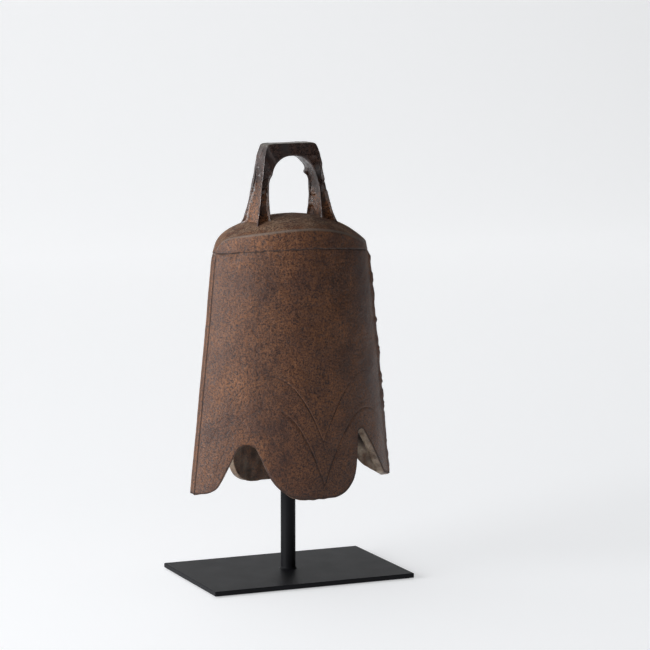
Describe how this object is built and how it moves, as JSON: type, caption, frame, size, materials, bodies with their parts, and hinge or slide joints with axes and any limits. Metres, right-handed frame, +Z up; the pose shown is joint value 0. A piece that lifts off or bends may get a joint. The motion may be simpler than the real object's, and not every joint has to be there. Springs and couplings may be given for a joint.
{
  "type": "temple bell",
  "caption": "Cast-iron temple bell of pointed-oval section with a scalloped rim and a carrying loop, resting on a black steel plate-and-post display stand.",
  "frame": {"origin": "centre of the stand's base plate, on the surface the stand rests on", "axes": "+Z up along the post, +X along the base plate's long side, +Y to the back; the bell faces -Y and +Y"},
  "size_m": [0.24, 0.1536, 0.464],
  "materials": {
    "stand_black": "fine satin black powder coat",
    "black_felt": "pressed wool felt",
    "bronze": "turned bearing bronze",
    "head_steel": "satin black",
    "pad_felt": "dense grey-black felt",
    "rusted_iron": "fine-grained brown rust patina, worn paler on edges",
    "loop_iron": "rough pitted dark patina with orange rust in the hollows"
  },
  "bodies": {
    "stand": {"base_plate": "stand_black", "base_felt": "black_felt", "post": "stand_black", "foot_weld": "stand_black", "thrust_washer": "bronze"},
    "swivel_head": {"support_head": "head_steel", "head_pad": "pad_felt"},
    "bell": {"bell_casting": "rusted_iron", "suspension_loop": "loop_iron"}
  },
  "joints": [
    {"name": "head_swivel", "type": "hinge", "parent": "stand", "child": "swivel_head", "pos_m": [0, 0, 0.346], "axis": [0, 0, 1], "continuous": true},
    {"name": "bell_lift", "type": "slide", "parent": "swivel_head", "child": "bell", "axis": [0, 0, 1], "range_m": [0, 0.3]}
  ]
}
